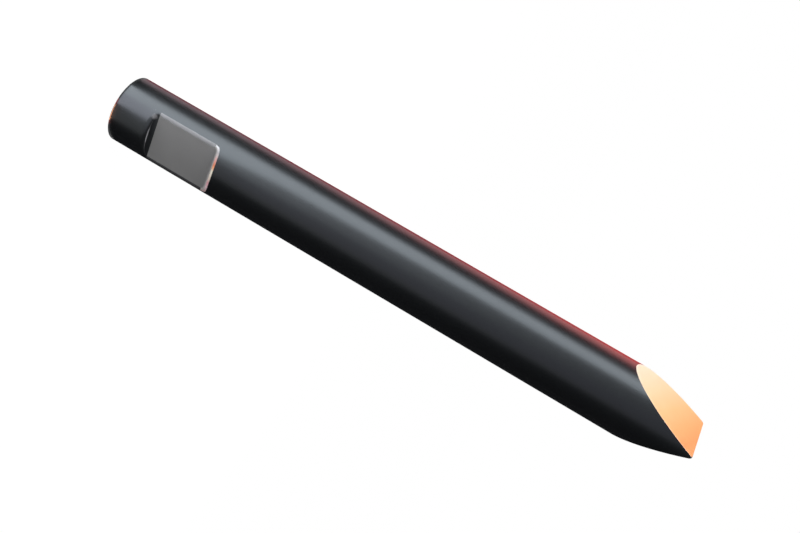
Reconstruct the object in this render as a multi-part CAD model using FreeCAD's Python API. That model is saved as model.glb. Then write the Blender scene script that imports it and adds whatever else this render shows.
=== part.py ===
import FreeCAD, Part
import math
import os

# Chisel of a hydraulic rock breaker: one solid round bar of through-hardened alloy steel.
# The bar is turned to size with its two rims rounded over, milled to a wedge at the working end, and
# milled with two opposite retaining flats near the struck end, where the breaker's two retaining pins
# hold it and leave it free to slide along its own length.
# Frame: the origin is the middle of the struck end face, +Z runs along the bar to the cutting edge,
# the retaining flats face +X and -X, and the bevels of the wedge face +Y and -Y, so that the cutting
# edge lies along X. All sizes are in millimetres and degrees.

# Round bar
bar_diameter = 135.0
bar_length = 1235.0
struck_rim_radius = 3.0
working_rim_radius = 5.0

# Wedge at the working end
bevel_half_angle = 22.8
edge_thickness = 2.8

# Retaining flats: depth below the round of the bar, and the feet of the two end walls measured from the struck
# end. The lower wall is square to the bar; the upper one leans outward, away from the struck end.
flat_depth = 20.0
flat_start = 81.0
flat_length = 141.2
upper_wall_lean = 25.5
flat_root_radius = 8.0
flat_rim_radius = 9.0

# Derived sizes
bar_radius = bar_diameter / 2
edge_half = edge_thickness / 2
flat_floor = bar_radius - flat_depth
flat_end = flat_start + flat_length
upper_lean = math.radians(upper_wall_lean)

# Cutting tools overrun the bar by this much, so that no tool face lies on a face of the bar
overrun = 10.0

AXIS = FreeCAD.Vector(0, 0, 1)
ORIGIN = FreeCAD.Vector(0, 0, 0)


def rim_arc(radius, rim, end, inward):
    """Quarter-round in the YZ plane between an end face at height `end` and the side of the bar."""
    centre = FreeCAD.Vector(0, radius - rim, end + inward * rim)
    on_face = centre + FreeCAD.Vector(0, 0, -inward * rim)
    halfway = centre + FreeCAD.Vector(0, rim * math.sin(math.pi / 4), -inward * rim * math.cos(math.pi / 4))
    on_side = centre + FreeCAD.Vector(0, rim, 0)
    return on_face, halfway, on_side


def turned_bar():
    """The bar as it leaves the lathe: half its outline, turned once about its own axis."""
    low_face, low_mid, low_side = rim_arc(bar_radius, struck_rim_radius, 0.0, 1)
    top_face, top_mid, top_side = rim_arc(bar_radius, working_rim_radius, bar_length, -1)
    top = FreeCAD.Vector(0, 0, bar_length)
    outline = Part.Wire([
        Part.LineSegment(ORIGIN, low_face).toShape(),
        Part.Arc(low_face, low_mid, low_side).toShape(),
        Part.LineSegment(low_side, top_side).toShape(),
        Part.Arc(top_side, top_mid, top_face).toShape(),
        Part.LineSegment(top_face, top).toShape(),
        Part.LineSegment(top, ORIGIN).toShape(),
    ])
    return Part.Face(outline).revolve(ORIGIN, AXIS, 360)


def bevel_tool(side):
    """What the mill takes off one side of the wedge (side is +1 or -1 along Y)."""
    slope = math.tan(math.radians(bevel_half_angle))
    reach = bar_radius + overrun
    above_edge = FreeCAD.Vector(-reach, side * (edge_half - overrun * slope), bar_length + overrun)
    beside_bar = FreeCAD.Vector(-reach, side * reach, bar_length - (reach - edge_half) / slope)
    corner = FreeCAD.Vector(-reach, side * reach, bar_length + overrun)
    triangle = Part.makePolygon([above_edge, beside_bar, corner, above_edge])
    return Part.Face(triangle).extrude(FreeCAD.Vector(2 * reach, 0, 0))


def flat_tool(side):
    """What the mill takes off for one retaining flat (side is +1 or -1 along X), with its root radii."""
    reach = bar_radius + overrun
    root = flat_root_radius

    def at(depth, height):
        return FreeCAD.Vector(side * depth, -reach, height)

    def end_wall(height, inward, lean):
        """From outside the bar down the wall and round its root to the floor; height is where a square wall
        would stand, inward is +1 or -1 along Z towards the middle of the flat."""
        floor_end = at(flat_floor, height + inward * root)

        def on_root(turn):
            rise = root * (1 - math.cos(turn))
            return at(flat_floor + rise, height + inward * (root - root * math.sin(turn)))

        full_turn = math.pi / 2 - lean
        wall_foot = on_root(full_turn)
        climb = reach - side * wall_foot.x
        outside = at(reach, wall_foot.z - inward * climb * math.tan(lean))
        return outside, wall_foot, on_root(full_turn / 2), floor_end

    low_out, low_wall, low_mid, low_floor = end_wall(flat_start, 1, 0.0)
    top_out, top_wall, top_mid, top_floor = end_wall(flat_end, -1, upper_lean)
    profile = Part.Wire([
        Part.LineSegment(low_out, low_wall).toShape(),
        Part.Arc(low_wall, low_mid, low_floor).toShape(),
        Part.LineSegment(low_floor, top_floor).toShape(),
        Part.Arc(top_floor, top_mid, top_wall).toShape(),
        Part.LineSegment(top_wall, top_out).toShape(),
        Part.LineSegment(top_out, low_out).toShape(),
    ])
    return Part.Face(profile).extrude(FreeCAD.Vector(0, 2 * reach, 0))


def is_flat_rim(edge):
    """True for the edges where a retaining flat breaks out through the round of the bar."""
    near = 1e-3
    box = edge.BoundBox
    if box.ZMin < flat_start - near or box.ZMax > flat_end + flat_depth * math.tan(upper_lean) + near:
        return False
    first, last = edge.ParameterRange
    for share in (0.0, 0.3, 0.5, 0.7, 1.0):
        point = edge.valueAt(first + share * (last - first))
        if abs(math.hypot(point.x, point.y) - bar_radius) > near:
            return False
    return True


def chisel():
    """The finished tool: wedge, retaining flats, and the rims of the flats rounded over all round."""
    body = turned_bar()
    for side in (1, -1):
        body = body.cut(bevel_tool(side))
        body = body.cut(flat_tool(side))
    rims = [edge for edge in body.Edges if is_flat_rim(edge)]
    return body.makeFillet(flat_rim_radius, rims)


def main():
    os.makedirs("parts", exist_ok=True)
    shape = chisel()
    shape.exportStep("parts/chisel.step")
    print("solids", len(shape.Solids), "valid", shape.isValid(), "volume", round(shape.Volume / 1e6, 4), "litres")


main()
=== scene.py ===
import math

import bpy
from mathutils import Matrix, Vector


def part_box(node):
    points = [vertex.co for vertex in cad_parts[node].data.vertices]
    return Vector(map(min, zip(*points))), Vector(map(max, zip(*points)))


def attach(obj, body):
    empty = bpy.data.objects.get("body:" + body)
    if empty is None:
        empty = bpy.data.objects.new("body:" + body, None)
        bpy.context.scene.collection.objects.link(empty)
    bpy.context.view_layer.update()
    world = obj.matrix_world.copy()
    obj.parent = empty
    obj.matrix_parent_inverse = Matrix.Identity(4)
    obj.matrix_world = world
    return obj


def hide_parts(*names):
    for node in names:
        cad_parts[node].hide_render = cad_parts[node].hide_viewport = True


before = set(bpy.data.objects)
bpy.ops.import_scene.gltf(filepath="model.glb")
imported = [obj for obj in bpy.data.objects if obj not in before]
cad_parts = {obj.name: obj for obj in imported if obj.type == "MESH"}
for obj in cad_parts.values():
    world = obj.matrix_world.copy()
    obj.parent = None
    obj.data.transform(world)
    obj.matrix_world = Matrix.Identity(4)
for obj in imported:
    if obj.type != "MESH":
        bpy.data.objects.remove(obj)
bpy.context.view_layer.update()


# The chisel: one round bar of hardened alloy steel. It is turned to its diameter with rounded rims, milled to a
# wedge whose cutting edge lies along X, and milled with two opposite retaining flats near the struck end. Every
# rim of the flats is rounded over, as if a ball had rolled along inside it.
bar_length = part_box("chisel")[1].z
bar_radius = 0.0675
struck_rim = 0.003
working_rim = 0.005
bevel_half_angle = math.radians(22.8)
edge_thickness = 0.0028
flat_depth = 0.020
flat_start = 0.081
flat_length = 0.1412
upper_wall_lean = math.radians(25.5)
flat_root = 0.008
flat_rim = 0.009
edge_break = 0.0008


def work_in(node_tree):
    """From here on, nodes are added to this tree."""
    global tree
    tree = node_tree
    return node_tree


def add_node(kind, settings=None, **inputs):
    """A node of the tree with its settings and inputs; an input's name has underscores for spaces."""
    node = tree.nodes.new(kind)
    for name, value in (settings or {}).items():
        setattr(node, name, value)
    for name, value in inputs.items():
        feed(node.inputs[name.replace("_", " ")], value)
    return node


def feed(socket, value):
    """Give a socket a number that the tree works out, another node's output, or a plain value."""
    if isinstance(value, Number):
        tree.links.new(value.output, socket)
    elif isinstance(value, bpy.types.NodeSocket):
        tree.links.new(value, socket)
    else:
        socket.default_value = value


class Number:
    """A number that the tree works out at each point, so that a shape can be written as plain arithmetic."""

    def __init__(self, output):
        self.output = output

    def __add__(self, other):
        return calculate("ADD", self, other)

    def __radd__(self, other):
        return calculate("ADD", other, self)

    def __sub__(self, other):
        return calculate("SUBTRACT", self, other)

    def __rsub__(self, other):
        return calculate("SUBTRACT", other, self)

    def __mul__(self, other):
        return calculate("MULTIPLY", self, other)

    def __rmul__(self, other):
        return calculate("MULTIPLY", other, self)

    def __truediv__(self, other):
        return calculate("DIVIDE", self, other)


def calculate(operation, *values):
    node = add_node("ShaderNodeMath", {"operation": operation})
    for socket, value in zip(node.inputs, values):
        feed(socket, value)
    return Number(node.outputs[0])


def sine(angle):
    return calculate("SINE", angle)


def cosine(angle):
    return calculate("COSINE", angle)


def root(value):
    return calculate("SQRT", value)


def between(first, last, share):
    return first + (last - first) * share


# The tree's inputs are the sizes that the lathe and the mill are set to.
sizes = {
    "Bar radius": bar_radius,
    "Bar length": bar_length,
    "Struck rim": struck_rim,
    "Working rim": working_rim,
    "Bevel half angle": bevel_half_angle,
    "Edge half": edge_thickness / 2,
    "Flat floor": bar_radius - flat_depth,
    "Flat start": flat_start,
    "Flat end": flat_start + flat_length,
    "Flat root": flat_root,
    "Flat rim": flat_rim,
    "Upper wall lean": upper_wall_lean,
}
bar_tree = work_in(bpy.data.node_groups.new("turned_and_milled_bar", "GeometryNodeTree"))
for name in sizes:
    bar_tree.interface.new_socket(name, in_out="INPUT", socket_type="NodeSocketFloat")
bar_tree.interface.new_socket("Geometry", in_out="OUTPUT", socket_type="NodeSocketGeometry")
given = add_node("NodeGroupInput")
outer, length, struck, working, bevel, edge, floor, start, end, fillet, rim, upper_lean = (
    Number(given.outputs[name]) for name in sizes
)

# Every patch is a grid of quads; u runs across its columns and v along its rows, both from 0 to 1. Its finish is
# the number of the material that it gets.
place = add_node("ShaderNodeSeparateXYZ", Vector=add_node("GeometryNodeInputPosition").outputs[0])
u = Number(place.outputs["X"]) + 0.5
v = Number(place.outputs["Y"]) + 0.5
BLACK, MILLED, BEVEL_PAINTED_REFLECTION, GROUND, RIM_PAINTED_LIGHT = range(5)


def patch(columns, rows, x, y, z, finish, across_rim=0.0):
    grid = add_node("GeometryNodeMeshGrid", Vertices_X=columns + 1, Vertices_Y=rows + 1)
    measured = add_node(
        "GeometryNodeStoreNamedAttribute", {"data_type": "FLOAT", "domain": "CORNER"},
        Geometry=grid.outputs["Mesh"], Name="across_rim", Value=across_rim,
    )
    marked = add_node(
        "GeometryNodeStoreNamedAttribute", {"data_type": "INT", "domain": "FACE"},
        Geometry=measured.outputs[0], Name="finish", Value=finish,
    )
    point = add_node("ShaderNodeCombineXYZ", X=x, Y=y, Z=z)
    return add_node("GeometryNodeSetPosition", Geometry=marked.outputs[0], Position=point.outputs[0]).outputs[0]


def join(*pieces):
    node = add_node("GeometryNodeJoinGeometry")
    for piece in pieces:
        tree.links.new(piece, node.inputs[0])
    return node.outputs[0]


def moved(piece, height, scale=(1, 1, 1)):
    shift = add_node("ShaderNodeCombineXYZ", Z=height)
    return add_node(
        "GeometryNodeTransform", Geometry=piece, Translation=shift.outputs[0], Scale=scale,
    ).outputs[0]


def mirrored(piece, scale, height=0.0):
    """A piece turned over by a negative scale, with its faces pointing outwards again."""
    return add_node("GeometryNodeFlipFaces", Mesh=moved(piece, height, scale)).outputs[0]


# A quarter of the bar is laid out, from the plane through the flats to the plane through the bevels, and then
# mirrored twice. Its columns stand at angles about the bar's axis, measured from the middle of a flat: the tip's
# columns run up to the cutting edge, the flat's columns cross the flat, and the side's pass beside it.
slope = calculate("TANGENT", bevel)
tip_angle = calculate("ARCSINE", (edge + working * slope) / outer)
rim_angle = calculate("ARCCOSINE", (floor - rim) / (outer - rim))
quarter_turn = math.pi / 2


def tip_column(share):
    return calculate("ARCSINE", (edge + working * slope) / outer * share)


def flat_column(share):
    return between(tip_angle, rim_angle, share)


def side_column(share):
    return between(rim_angle, quarter_turn, share)


tip_columns, flat_columns, side_columns = 2, 24, 16
columns = ((tip_column, tip_columns), (flat_column, flat_columns), (side_column, side_columns))
face_rows, struck_rows, seat_rows, long_rows = 5, 5, 8, 46
flat_rows, rim_rows, wall_rows, root_rows = 14, 16, 1, 6


def ball_path(angle, lean):
    """Where the ball that rounds the rim stands, at an angle about the bar: its distance from the axis along the
    flat's normal, how far it goes past the floor's end, and how far round the root's arc it has come."""
    reach = (outer - rim) * cosine(calculate("MINIMUM", angle, rim_angle))
    turned = calculate("ARCSINE", calculate("MAXIMUM", (floor + fillet - reach) / (fillet + rim), sine(lean)))
    climb = calculate("MAXIMUM", reach - floor - fillet + (fillet + rim) * sine(turned), 0.0)
    past = (fillet + rim) * cosine(turned) + climb * calculate("TANGENT", lean)
    return reach, past, turned


def lower_rim(angle):
    """Height of the line where the rounded rim of the flat's lower end leaves the round of the bar."""
    return start + fillet - ball_path(angle, 0.0)[1]


def upper_rim(angle):
    """The same for the flat's upper end."""
    return end - fillet + ball_path(angle, upper_lean)[1]


def crease_height(angle):
    """Height of the line where the bevel cuts the round of the bar."""
    crease = length - (outer * sine(angle) - edge) / slope
    return calculate("MINIMUM", crease, length - working)


# Struck face, its rounded rim, the round below the flat and the long round above it.
quarter = []
for column, count in columns:
    angle = column(u)
    along, across = cosine(angle), sine(angle)
    ring = (outer - struck) * v
    quarter.append(patch(count, face_rows, ring * along, ring * across, 0.0, BLACK))
    turn = v * quarter_turn
    ring = outer - struck + struck * sine(turn)
    rim_height = struck - struck * cosine(turn)
    quarter.append(patch(count, struck_rows, ring * along, ring * across, rim_height, BLACK))
    seat_height = between(struck, lower_rim(angle), v)
    quarter.append(patch(count, seat_rows, outer * along, outer * across, seat_height, BLACK))
    long_height = between(upper_rim(angle), crease_height(angle), v)
    quarter.append(patch(count, long_rows, outer * along, outer * across, long_height, BLACK))

# Beside the flat the round of the bar goes on.
flat_height = between(start + fillet, end - fillet, v)
angle = side_column(u)
quarter.append(patch(side_columns, flat_rows, outer * cosine(angle), outer * sine(angle), flat_height, BLACK))

# The flat's ends: the rounded rim, the end wall and the root radius. Each is laid out as a lower end, with the end
# of the floor at height 0, and the upper one is then turned over. The attribute across_rim tells the finishes how
# far a point is across the rim, from the round of the bar (0) to the wall (1), and on over the wall and the root.
wall_share, root_share = 0.1, 0.4


def flat_end(lean, root_finish, edge_finish):
    pieces = []
    for column, count in columns[:2]:
        angle = column(u)
        along, across = cosine(angle), sine(angle)
        ball_x, past, turned = ball_path(angle, lean)
        ball_y = (outer - rim) * across
        opening = calculate("ARCCOSINE", along * sine(turned))
        from_bar = rim * sine((1.0 - v) * opening) / sine(opening)
        from_flat = rim * sine(v * opening) / sine(opening)
        pieces.append(patch(
            count, rim_rows,
            ball_x + from_bar * along + from_flat * sine(turned),
            ball_y + from_bar * across,
            from_flat * cosine(turned) - past,
            edge_finish, v,
        ))
        foot_x, foot_z = floor + fillet - fillet * sine(turned), 0.0 - fillet * cosine(turned)
        pieces.append(patch(
            count, wall_rows,
            between(ball_x + rim * sine(turned), foot_x, v), ball_y,
            between(rim * cosine(turned) - past, foot_z, v),
            edge_finish, 1.0 + v * wall_share,
        ))
        bend = between(turned, quarter_turn, v)
        pieces.append(patch(
            count, root_rows, floor + fillet - fillet * sine(bend), ball_y, 0.0 - fillet * cosine(bend),
            root_finish, 1.0 + wall_share + v * root_share,
        ))
    return join(*pieces)


for column, count in columns[:2]:
    quarter.append(patch(count, flat_rows, floor, (outer - rim) * sine(column(u)), flat_height, MILLED))
quarter.append(moved(flat_end(0.0, BLACK, BLACK), start + fillet))
quarter.append(mirrored(flat_end(upper_lean, MILLED, RIM_PAINTED_LIGHT), (1, 1, -1), end - fillet))

# The rim along the flat's long edge, rounded by the same ball.
turn = u * rim_angle
quarter.append(patch(
    rim_rows, flat_rows,
    floor - rim + rim * cosine(turn), (outer - rim) * sine(rim_angle) + rim * sine(turn), flat_height, GROUND,
))

# The bevel runs from its crease with the round of the bar to the narrow land of the cutting edge.
bevel_columns, corner_rows, land_rows = 12, 4, 2
for column, count in columns[1:]:
    angle = column(v)
    quarter.append(patch(
        bevel_columns, count, u * outer * cosine(angle), outer * sine(angle), crease_height(angle), BEVEL_PAINTED_REFLECTION,
    ))


def corner(share):
    """Height and distance from the axis along the rounded corner of the cutting edge."""
    turn = share * quarter_turn
    return length - working + working * sine(turn), outer - working + working * cosine(turn)


height, ring = corner(1.0 - v)
half = edge + (length - height) * slope
quarter.append(patch(bevel_columns, corner_rows, u * root(ring * ring - half * half), half, height, BEVEL_PAINTED_REFLECTION))
height, ring = corner(v)
half = (edge + (length - height) * slope) * u
quarter.append(patch(tip_columns, corner_rows, root(ring * ring - half * half), half, height, BLACK))
half = edge * v
reach = root((outer - working) * (outer - working) - half * half)
quarter.append(patch(bevel_columns, land_rows, u * reach, half, length, BEVEL_PAINTED_REFLECTION))

merge_distance = 1e-5
one = join(*quarter)
two = join(one, mirrored(one, (-1, 1, 1)))
four = join(two, mirrored(two, (1, -1, 1)))
whole = add_node("GeometryNodeMergeByDistance", Geometry=four, Distance=merge_distance).outputs[0]
shaded = add_node("GeometryNodeSetShadeSmooth", Geometry=whole).outputs[0]

# The sharp edges of the wedge are broken slightly; the modifier after the tree does that where the weight is 1.
sharp_from = math.radians(16)
wedge_above = 0.9


def greater(value, limit):
    return add_node("FunctionNodeCompare", {"operation": "GREATER_THAN"}, A=value, B=limit).outputs["Result"]


edge_angle = add_node("GeometryNodeInputMeshEdgeAngle").outputs["Unsigned Angle"]
sharp_on_wedge = add_node("FunctionNodeBooleanMath", {"operation": "AND"})
feed(sharp_on_wedge.inputs[0], greater(edge_angle, sharp_from))
feed(sharp_on_wedge.inputs[1], greater(place.outputs["Z"], wedge_above))
weighted = add_node(
    "GeometryNodeStoreNamedAttribute", {"data_type": "FLOAT", "domain": "EDGE"},
    Geometry=shaded, Selection=sharp_on_wedge.outputs[0], Name="bevel_weight_edge", Value=1.0,
).outputs[0]

black_steel = bpy.data.materials.new("black_steel")
milled_steel = bpy.data.materials.new("milled_steel")
bevel_painted_reflection = bpy.data.materials.new("bevel_painted_reflection")
ground_rim = bpy.data.materials.new("ground_rim")
rim_painted_light = bpy.data.materials.new("rim_painted_light")
finishes = ((MILLED, milled_steel), (BEVEL_PAINTED_REFLECTION, bevel_painted_reflection), (GROUND, ground_rim), (RIM_PAINTED_LIGHT, rim_painted_light))
dressed = add_node("GeometryNodeRealizeInstances", Geometry=weighted).outputs[0]
dressed = add_node("GeometryNodeSetMaterial", Geometry=dressed, Material=black_steel).outputs[0]
finish = add_node("GeometryNodeInputNamedAttribute", {"data_type": "INT"}, Name="finish")
for number, material in finishes:
    chosen = add_node("FunctionNodeCompare", {"data_type": "INT", "operation": "EQUAL"})
    first, second = (socket for socket in chosen.inputs if socket.enabled and socket.name in "AB")
    feed(first, finish.outputs["Attribute"])
    feed(second, number)
    dressed = add_node(
        "GeometryNodeSetMaterial", Geometry=dressed, Selection=chosen.outputs["Result"], Material=material,
    ).outputs[0]
add_node("NodeGroupOutput", Geometry=dressed)


def new_object(name, data):
    thing = bpy.data.objects.new(name, data)
    bpy.context.scene.collection.objects.link(thing)
    return thing


made = new_object("made", bpy.data.meshes.new("made"))
shaping = made.modifiers.new("shape", "NODES")
shaping.node_group = bar_tree
for item in bar_tree.interface.items_tree:
    if item.in_out == "INPUT":
        shaping[item.identifier] = sizes[item.name]
breaking = made.modifiers.new("edge_break", "BEVEL")
breaking.limit_method = "WEIGHT"
breaking.width = edge_break
breaking.segments = 2
evening = made.modifiers.new("even_normals", "WEIGHTED_NORMAL")
evening.weight = 50
mesh = bpy.data.meshes.new_from_object(made.evaluated_get(bpy.context.evaluated_depsgraph_get()))
bpy.data.objects.remove(made)

# The first material slot is the empty one of the mesh that the tree started from.
mesh.materials.pop(index=0)
mesh.name = "chisel_bar"
chisel = new_object("chisel_bar", mesh)
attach(chisel, "root")
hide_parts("chisel")


def object_place():
    """Where a point is on the tool, for a material."""
    return add_node("ShaderNodeTexCoord").outputs["Object"]


def object_part(axis):
    return Number(add_node("ShaderNodeSeparateXYZ", Vector=object_place()).outputs[axis])


def vector_sum(operation, first, second):
    """A vector node whose two inputs have the same name."""
    node = add_node("ShaderNodeVectorMath", {"operation": operation})
    feed(node.inputs[0], first)
    feed(node.inputs[1], second)
    return node.outputs


# What the tools leave on steel: fine marks that run across one direction, and broad soft patches where the
# surface is a little duller or brighter. Both come out as numbers about 0.5.
tool_marks = work_in(bpy.data.node_groups.new("tool_marks", "ShaderNodeTree"))
for name, kind in (("Across", "Vector"), ("Spacing", "Float"), ("Drift", "Float"), ("Patch size", "Float")):
    tool_marks.interface.new_socket(name, in_out="INPUT", socket_type="NodeSocket" + kind)
for name in ("Marks", "Patches"):
    tool_marks.interface.new_socket(name, in_out="OUTPUT", socket_type="NodeSocketFloat")
given = add_node("NodeGroupInput")
spot = object_place()
run = vector_sum("DOT_PRODUCT", spot, given.outputs["Across"])["Value"]
sway = add_node("ShaderNodeTexNoise", Vector=spot, Scale=9.0, Detail=1.0)
row = Number(run) + Number(sway.outputs["Fac"]) * Number(given.outputs["Drift"])
fine = add_node("ShaderNodeTexNoise", {"noise_dimensions": "1D"}, Detail=2.0, Scale=1.0)
feed(fine.inputs["W"], row / Number(given.outputs["Spacing"]))
broad = add_node("ShaderNodeTexNoise", Vector=spot, Detail=3.0, Roughness=0.55)
feed(broad.inputs["Scale"], calculate("DIVIDE", 1.0, given.outputs["Patch size"]))
add_node("NodeGroupOutput", Marks=fine.outputs["Fac"], Patches=broad.outputs["Fac"])


def start_material(material):
    """Make the material's tree the one that nodes are added to, and give its shader."""
    material.use_nodes = True
    work_in(material.node_tree)
    return tree.nodes["Principled BSDF"]


def add_marks(across, spacing, drift, patch_size):
    node = add_node(
        "ShaderNodeGroup", {"node_tree": tool_marks},
        Across=across, Spacing=spacing, Drift=drift, Patch_size=patch_size,
    )
    return Number(node.outputs["Marks"]), Number(node.outputs["Patches"])


def set_normal(shader, height, depth):
    shallow = add_node("ShaderNodeBump", Height=height, Distance=depth)
    feed(shader.inputs["Normal"], shallow.outputs["Normal"])


def across_rim():
    """How far a point is across the rounded rim of a flat's end."""
    return Number(add_node("ShaderNodeAttribute", {"attribute_name": "across_rim"}).outputs["Fac"])


def rise(value, low, high, least=0.0, most=1.0):
    """A number that goes from least to most as the value goes from low to high, and stays there beyond."""
    node = add_node("ShaderNodeMapRange", Value=value, From_Min=low, From_Max=high, To_Min=least, To_Max=most)
    return Number(node.outputs["Result"])


def mix(share, first, second):
    """Two colours mixed: all first where the share is 0 and all second where it is 1."""
    node = add_node("ShaderNodeMix", {"data_type": "RGBA"})
    factor, first_colour, second_colour = node.inputs[0], node.inputs[6], node.inputs[7]
    feed(factor, share)
    feed(first_colour, first)
    feed(second_colour, second)
    return node.outputs[2]


def ramp(value, low, high, stops):
    """A colour that runs through the stops, (share, red, green, blue) each, as the value goes from low to high."""
    node = add_node("ShaderNodeValToRGB", Fac=rise(value, low, high))
    band = node.color_ramp
    while len(band.elements) < len(stops):
        band.elements.new(0.5)
    for element, (place_on_band, *colour) in zip(band.elements, stops):
        element.position = place_on_band
        element.color = (*colour, 1)
    return node.outputs["Color"]


# The round of the bar: black, satin, finely turned. Along the rim of a flat's lower end a light line is painted
# in, a painted highlight, and beside the corner of that rim lie a few small nicks and a smudge.
shader = start_material(black_steel)
marks, patches = add_marks((0, 0, 1), 0.0016, 0.004, 0.07)
# A painted highlight: a light line in the bare colour along the rim of the lower end, fading out towards -Y and
# dimmer towards +Y.
line_on_rim, line_sharpness = 1.04, 10.0
off_line = calculate("ABSOLUTE", across_rim() - line_on_rim)
painted_highlight_line = calculate("MAXIMUM", 1.0 - off_line * line_sharpness, 0.0)
painted_highlight_line = painted_highlight_line * rise(object_part("Y"), -0.034, -0.012) * rise(object_part("Y"), 0.034, 0.014, least=0.15)
rim_corner = (0.052, -0.040, 0.082)
spot = object_place()
from_corner = vector_sum("DISTANCE", spot, rim_corner)["Value"]
smudge = rise(from_corner, 0.0068, 0.0025, most=0.32)
dots_per_metre, dot_share, dot_strength = 240.0, 0.35, 0.22
cells = add_node("ShaderNodeTexVoronoi", Vector=spot, Scale=dots_per_metre)
chance = add_node("ShaderNodeSeparateColor", Color=cells.outputs["Color"]).outputs["Red"]
nicks = rise(from_corner, 0.022, 0.014) * rise(cells.outputs["Distance"], 0.15, 0.09)
nicks = nicks * calculate("GREATER_THAN", chance, dot_share)
highlight_and_marks = calculate("MAXIMUM", painted_highlight_line, nicks * dot_strength + smudge)
black, bare_and_painted_light = (0.0078, 0.0086, 0.0094, 1), (0.58, 0.57, 0.60, 1)
feed(shader.inputs["Base Color"], mix(highlight_and_marks, black, bare_and_painted_light))
shader.inputs["Specular IOR Level"].default_value = 0.34
shader.inputs["Specular Tint"].default_value = (0.90, 0.96, 1.0, 1)
feed(shader.inputs["Roughness"], 0.35 + (marks - 0.5) * 0.05 + (patches - 0.5) * 0.06)
set_normal(shader, marks, 0.000012)

# The floor and the upper root of a retaining flat: bare steel, milled along the bar.
shader = start_material(milled_steel)
marks, patches = add_marks((0, 1, 0), 0.0022, 0.003, 0.05)
shader.inputs["Metallic"].default_value = 0.15
shader.inputs["Specular IOR Level"].default_value = 0.25
grey = ramp(patches, 0.3, 0.7, ((0, 0.252, 0.251, 0.252), (1, 0.27, 0.269, 0.27)))
feed(shader.inputs["Base Color"], grey)
feed(shader.inputs["Roughness"], 0.42 + (marks - 0.5) * 0.08 + (patches - 0.5) * 0.06)
set_normal(shader, marks, 0.00002)

# The long rims of a flat: rounded over with a grinder, matt bare steel, darker towards +Y.
shader = start_material(ground_rim)
marks, patches = add_marks((0, 0, 1), 0.0018, 0.002, 0.03)
shader.inputs["Metallic"].default_value = 0.75
grey = ramp(patches, 0.3, 0.7, ((0, 0.145, 0.145, 0.145), (1, 0.16, 0.16, 0.16)))
# The base colour runs towards black towards +Y.
darker_towards_plus_y = rise(object_part("Y"), -0.02, 0.02, most=0.6)
feed(shader.inputs["Base Color"], mix(darker_towards_plus_y, grey, (0.02, 0.02, 0.022, 1)))
feed(shader.inputs["Roughness"], 0.80 + (marks - 0.5) * 0.08)
set_normal(shader, marks, 0.00002)

# The upper end of a flat: its rim painted with a warm reflection that changes along it and a painted glint at its
# -Y corner, and its wall bare steel with painted light, brighter towards +Y.
shader = start_material(rim_painted_light)
marks, patches = add_marks((0, 1, 0), 0.0018, 0.002, 0.03)
shader.inputs["Metallic"].default_value = 0.1
rim_reach = 0.053
# Painted reflection: warm colours along the rim, red, cream and pink, with a painted glint near the -Y corner.
painted_reflection = ramp(object_part("Y") + (patches - 0.5) * 0.006, -rim_reach, rim_reach, (
    (0.038, 0.62, 0.62, 0.64), (0.066, 0.50, 0.495, 0.50), (0.10, 0.34, 0.33, 0.34), (0.15, 0.44, 0.37, 0.36),
    (0.21, 0.58, 0.32, 0.30), (0.31, 0.77, 0.25, 0.13), (0.36, 0.88, 0.46, 0.25), (0.41, 1.0, 0.94, 0.78),
    (0.57, 1.0, 0.85, 0.74), (0.68, 0.95, 0.48, 0.54), (0.78, 1.0, 0.72, 0.78), (0.90, 0.60, 0.42, 0.42),
))
# Painted light: the wall's grey is made brighter towards +Y, where the lamps light it less.
bare_and_painted_light = ramp(object_part("Y"), -0.03, 0.03, ((0.0, 0.31, 0.30, 0.29), (1.0, 0.50, 0.47, 0.46)))
feed(shader.inputs["Base Color"], mix(rise(across_rim(), 0.40, 0.60), painted_reflection, bare_and_painted_light))
shader.inputs["Specular IOR Level"].default_value = 0.12
feed(shader.inputs["Roughness"], 0.6 + (marks - 0.5) * 0.08)
set_normal(shader, marks, 0.00001)

# The bevels of the wedge: ground, with a painted warm reflection from cream at the crease to orange at the cutting
# edge, and a painted highlight, a paler line where the bevel meets the round of the bar.
crease_end = bar_length - (bar_radius - edge_thickness / 2) / math.tan(bevel_half_angle)
shader = start_material(bevel_painted_reflection)
marks, patches = add_marks((0, 0, 1), 0.0014, 0.002, 0.04)
# Painted reflection: a warm gradient along the bar, tilted a little with X.
gradient_place = object_part("Z") + object_part("X") * 0.4 + (patches - 0.5) * 0.012
painted_reflection = ramp(gradient_place, crease_end, bar_length, (
    (0.08, 0.93, 0.875, 0.625), (0.33, 0.94, 0.775, 0.46), (0.59, 0.95, 0.635, 0.29),
    (0.84, 0.96, 0.505, 0.195), (1.0, 0.95, 0.415, 0.15),
))
flatwise = vector_sum("MULTIPLY", object_place(), (1, 1, 0))[0]
off_axis = add_node("ShaderNodeVectorMath", {"operation": "LENGTH"})
feed(off_axis.inputs[0], flatwise)
# Painted highlight: a paler line along the crease.
near_crease = rise(off_axis.outputs["Value"], bar_radius - 0.0022, bar_radius - 0.0008)
feed(shader.inputs["Base Color"], mix(near_crease * 0.45, painted_reflection, (0.97, 0.93, 0.84, 1)))
feed(shader.inputs["Roughness"], 0.55 + (marks - 0.5) * 0.12)
shader.inputs["Specular IOR Level"].default_value = 0.3
set_normal(shader, marks, 0.00001)


# Studio: a plain white floor and surround. Soft lamps give the daylight level, and the tool mirrors sheets of
# white, black and warm card that stand round it, as a photographer sets them up for a dark shiny bar. The camera
# looks at the tool from beside its front retaining flat, a little above its middle. It is rolled so that the bar
# runs from its struck end at the upper left to its tip at the lower right.
camera_place = Vector((1.8922, -1.0115, 0.9902))
camera_target = Vector((0.00014, -0.00022, 0.61795))
camera_roll = math.radians(120.289)
camera_lens = 52.886
camera_turn = math.atan2(camera_place.y, camera_place.x)

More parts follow.
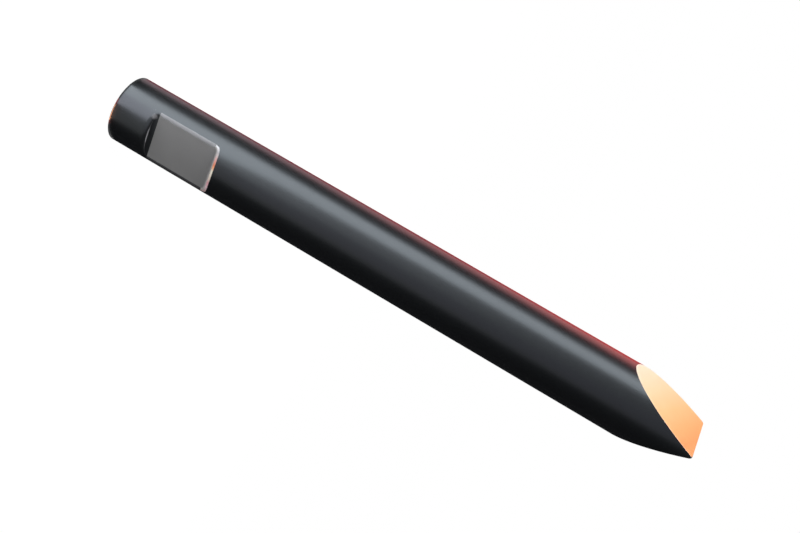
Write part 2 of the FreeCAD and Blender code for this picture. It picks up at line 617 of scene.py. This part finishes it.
camera = new_object("camera", bpy.data.cameras.new("camera"))
bpy.context.scene.camera = camera
camera.data.lens = camera_lens
camera.data.sensor_width = 36.0
camera.location = camera_place
facing = (camera_target - camera_place).to_track_quat("-Z", "Y").to_matrix()
camera.rotation_euler = (facing @ facing.Rotation(camera_roll, 3, "Z")).to_euler()


def seen():
    """1 for the rays that show the background itself: straight to the camera, mirrored or through glass."""
    path = add_node("ShaderNodeLightPath")
    shown = calculate("MAXIMUM", path.outputs["Is Camera Ray"], path.outputs["Is Glossy Ray"])
    return calculate("MAXIMUM", shown, path.outputs["Is Transmission Ray"])


surround_level = 0.35
world = bpy.data.worlds.new("studio")
bpy.context.scene.world = world
world.use_nodes = True
back = work_in(world.node_tree).nodes["Background"]
back.inputs["Color"].default_value = (1, 1, 1, 1)
feed(back.inputs["Strength"], between(surround_level, 1.0, seen()))

# The floor takes the object's shadow, but what the camera sees of it is nearly all its own plain white.
floor_half, floor_white, plain_share = 12.0, 1.035, 0.95
floor_mesh = bpy.data.meshes.new("floor")
floor_mesh.from_pydata(
    [(x * floor_half, y * floor_half, 0) for x, y in ((-1, -1), (1, -1), (1, 1), (-1, 1))],
    [], [(0, 1, 2, 3)],
)
new_object("floor", floor_mesh)
paper = bpy.data.materials.new("white_floor")
floor_mesh.materials.append(paper)
paper.use_nodes = True
work_in(paper.node_tree).nodes.clear()
matt = add_node("ShaderNodeBsdfDiffuse", Color=(0.9, 0.9, 0.9, 1))
glow = add_node("ShaderNodeEmission", Strength=floor_white)
surface = add_node("ShaderNodeMixShader", Fac=seen() * plain_share)
feed(surface.inputs[1], matt.outputs[0])
feed(surface.inputs[2], glow.outputs[0])
add_node("ShaderNodeOutputMaterial", Surface=surface.outputs[0])


def stand(turn, distance, height):
    """A place beside the tool: at an angle about its axis from +X, a distance from the axis and a height."""
    turn = math.radians(turn)
    return Vector((distance * math.cos(turn), distance * math.sin(turn), height))


def soft_lamp(name, place, target, size, level):
    """A square lamp; its level is what a white card facing it at the target would get from it."""
    lamp = bpy.data.lights.new(name, "AREA")
    lamp.size = size
    away = place - target
    lamp.energy = level * math.pi * math.pi * away.length_squared
    lamp_object = new_object(name, lamp)
    lamp_object.location = place
    lamp_object.rotation_euler = away.to_track_quat("Z", "Y").to_euler()
    lamp_object.visible_camera = False
    lamp_object.visible_glossy = False


lit_place = Vector((0, 0, 0.9))
soft_lamp("day_lamp", stand(-72, 1.7, 1.7), lit_place, size=1.3, level=0.60)
soft_lamp("fill_lamp", stand(115, 2.2, 1.6), lit_place, size=1.6, level=0.30)


def mirrored_place(across, distance, height):
    """Where the camera looks by way of the round of the bar: across is the turn about the bar's axis, in degrees,
    from its upper outline (0) to its lower one (180), and distance is how far from the axis the place is."""
    facing = camera_turn - math.pi / 2 + math.radians(across)
    leaving = 2 * facing - camera_turn
    swing = bar_radius * math.sin(leaving - facing)
    travel = math.sqrt(distance ** 2 - swing ** 2) - bar_radius * math.cos(leaving - facing)
    return Vector((
        bar_radius * math.cos(facing) + travel * math.cos(leaving),
        bar_radius * math.sin(facing) + travel * math.sin(leaving),
        height,
    ))


def sheet(name, rows, foot_colour, head_colour, lateness=1.0):
    """A curved sheet of card that only the tool's gloss shows. Its rows are (height, distance from the axis, first
    and last turn across), from the floor up. Its colour changes from foot to head, later where lateness is above
    1 and sooner where it is below."""
    steps = 16
    points, faces = [], []
    for height, distance, first, last in rows:
        for step in range(steps + 1):
            points.append(mirrored_place(first + (last - first) * step / steps, distance, height))
    for row in range(len(rows) - 1):
        for step in range(steps):
            corner = row * (steps + 1) + step
            faces.append((corner, corner + 1, corner + steps + 2, corner + steps + 1))
    card = bpy.data.meshes.new(name)
    card.from_pydata(points, [], faces)
    card_object = new_object(name, card)
    card_object.visible_camera = False
    card_object.visible_shadow = False
    card_object.visible_diffuse = False
    colour = bpy.data.materials.new(name)
    card.materials.append(colour)
    colour.use_nodes = True
    work_in(colour.node_tree).nodes.clear()
    share = calculate("POWER", rise(object_part("Z"), rows[0][0], rows[-1][0]), lateness)
    glow = add_node("ShaderNodeEmission", Color=mix(share, (*foot_colour, 1), (*head_colour, 1)))
    add_node("ShaderNodeOutputMaterial", Surface=glow.outputs[0])


def bent_rows(*edges):
    """Rows of a sheet that lies on the floor from the tool's foot outwards, is bent up and stands higher than the
    tool. Its edges are (height, first turn, last turn), from the floor up."""
    lying_height, bend_distance = 0.002, 0.25
    (_, first, last), *standing = edges
    lying = [(lying_height, distance, first, last) for distance in (0.072, 0.09, 0.12, 0.17, bend_distance)]
    return lying + [(height, bend_distance, first, last) for height, first, last in standing]


# The light bands of the round: a bright one, and paler ones that fade out beside it.
white = (8.65, 9.1, 9.55)
sheet("bright_sheet", bent_rows(
    (0, 53.3, 92), (0.03, 53.3, 91), (0.20, 53.3, 81), (0.30, 53.3, 75.5),
    (0.45, 53.3, 73.5), (0.75, 53.3, 71), (1.5, 53.3, 68.5),
), white, white)
sheet("pale_sheet", (
    (0.0022, 0.071, 72, 92), (0.0022, 0.12, 72, 92), (0.0022, 0.248, 72, 92),
    (0.04, 0.248, 74, 91), (0.10, 0.248, 84, 88),
), (7.0, 7.0, 7.7), (7.6, 7.8, 8.4))
sheet("fading_sheet", (
    (0.16, 0.26, 84, 93), (0.30, 0.26, 77, 92), (0.45, 0.26, 73, 91), (0.75, 0.26, 70, 91), (1.5, 0.26, 69, 91),
), (3.0, 3.05, 3.2), (0.3, 0.3, 0.33), 0.7)
sheet("faint_sheet", (
    (0.16, 0.27, 92, 109), (0.45, 0.27, 91, 109), (1.5, 0.27, 91, 109),
), (1.22, 1.18, 1.34), (0.68, 0.67, 0.8))

# The dark bands along both outlines, and the warm line along the upper one.
black, dim = (0, 0, 0), (0.03, 0.03, 0.035)
sheet("black_sheet_low", bent_rows(
    (0, 119, 188), (0.1, 116.5, 188), (0.6, 114.5, 188), (1.5, 110, 188),
), dim, dim)
sheet("black_sheet_high", bent_rows((0, 31.8, 51.3), (0.1, 32, 51.3), (1.5, 37, 51.3)), black, black)
sheet("warm_sheet_near", bent_rows(
    (0, 18.5, 31.8), (0.1, 18.5, 32), (1.5, 18.5, 37),
), (1.42, 1.05, 1.13), (6.0, 1.28, 1.2), 1.6)
sheet("warm_sheet_far", bent_rows(
    (0, -4, 18.5), (0.1, -4, 18.5), (1.5, -4, 18.5),
), (0.6, 0.04, 0.1), (2.95, 0.06, 0.04), 1.6)

# A narrow ring on the floor round the struck end, which only the rounded rim there mirrors.
ember, red, deep_red = (44, 18.0, 9.0), (18, 2.2, 2.2), (7, 0.9, 0.7)
for name, first, last, colour in (
    ("ring_dark_high", -10, 84, black), ("ring_red_high", 84, 95, red), ("ring_ember", 95, 124, ember),
    ("ring_red_low", 124, 132, deep_red), ("ring_dark_low", 132, 190, black),
):
    sheet(name, ((0.001, 0.0676, first, last), (0.0011, 0.0698, first, last)), colour, colour)

bpy.context.scene.view_settings.view_transform = "Standard"
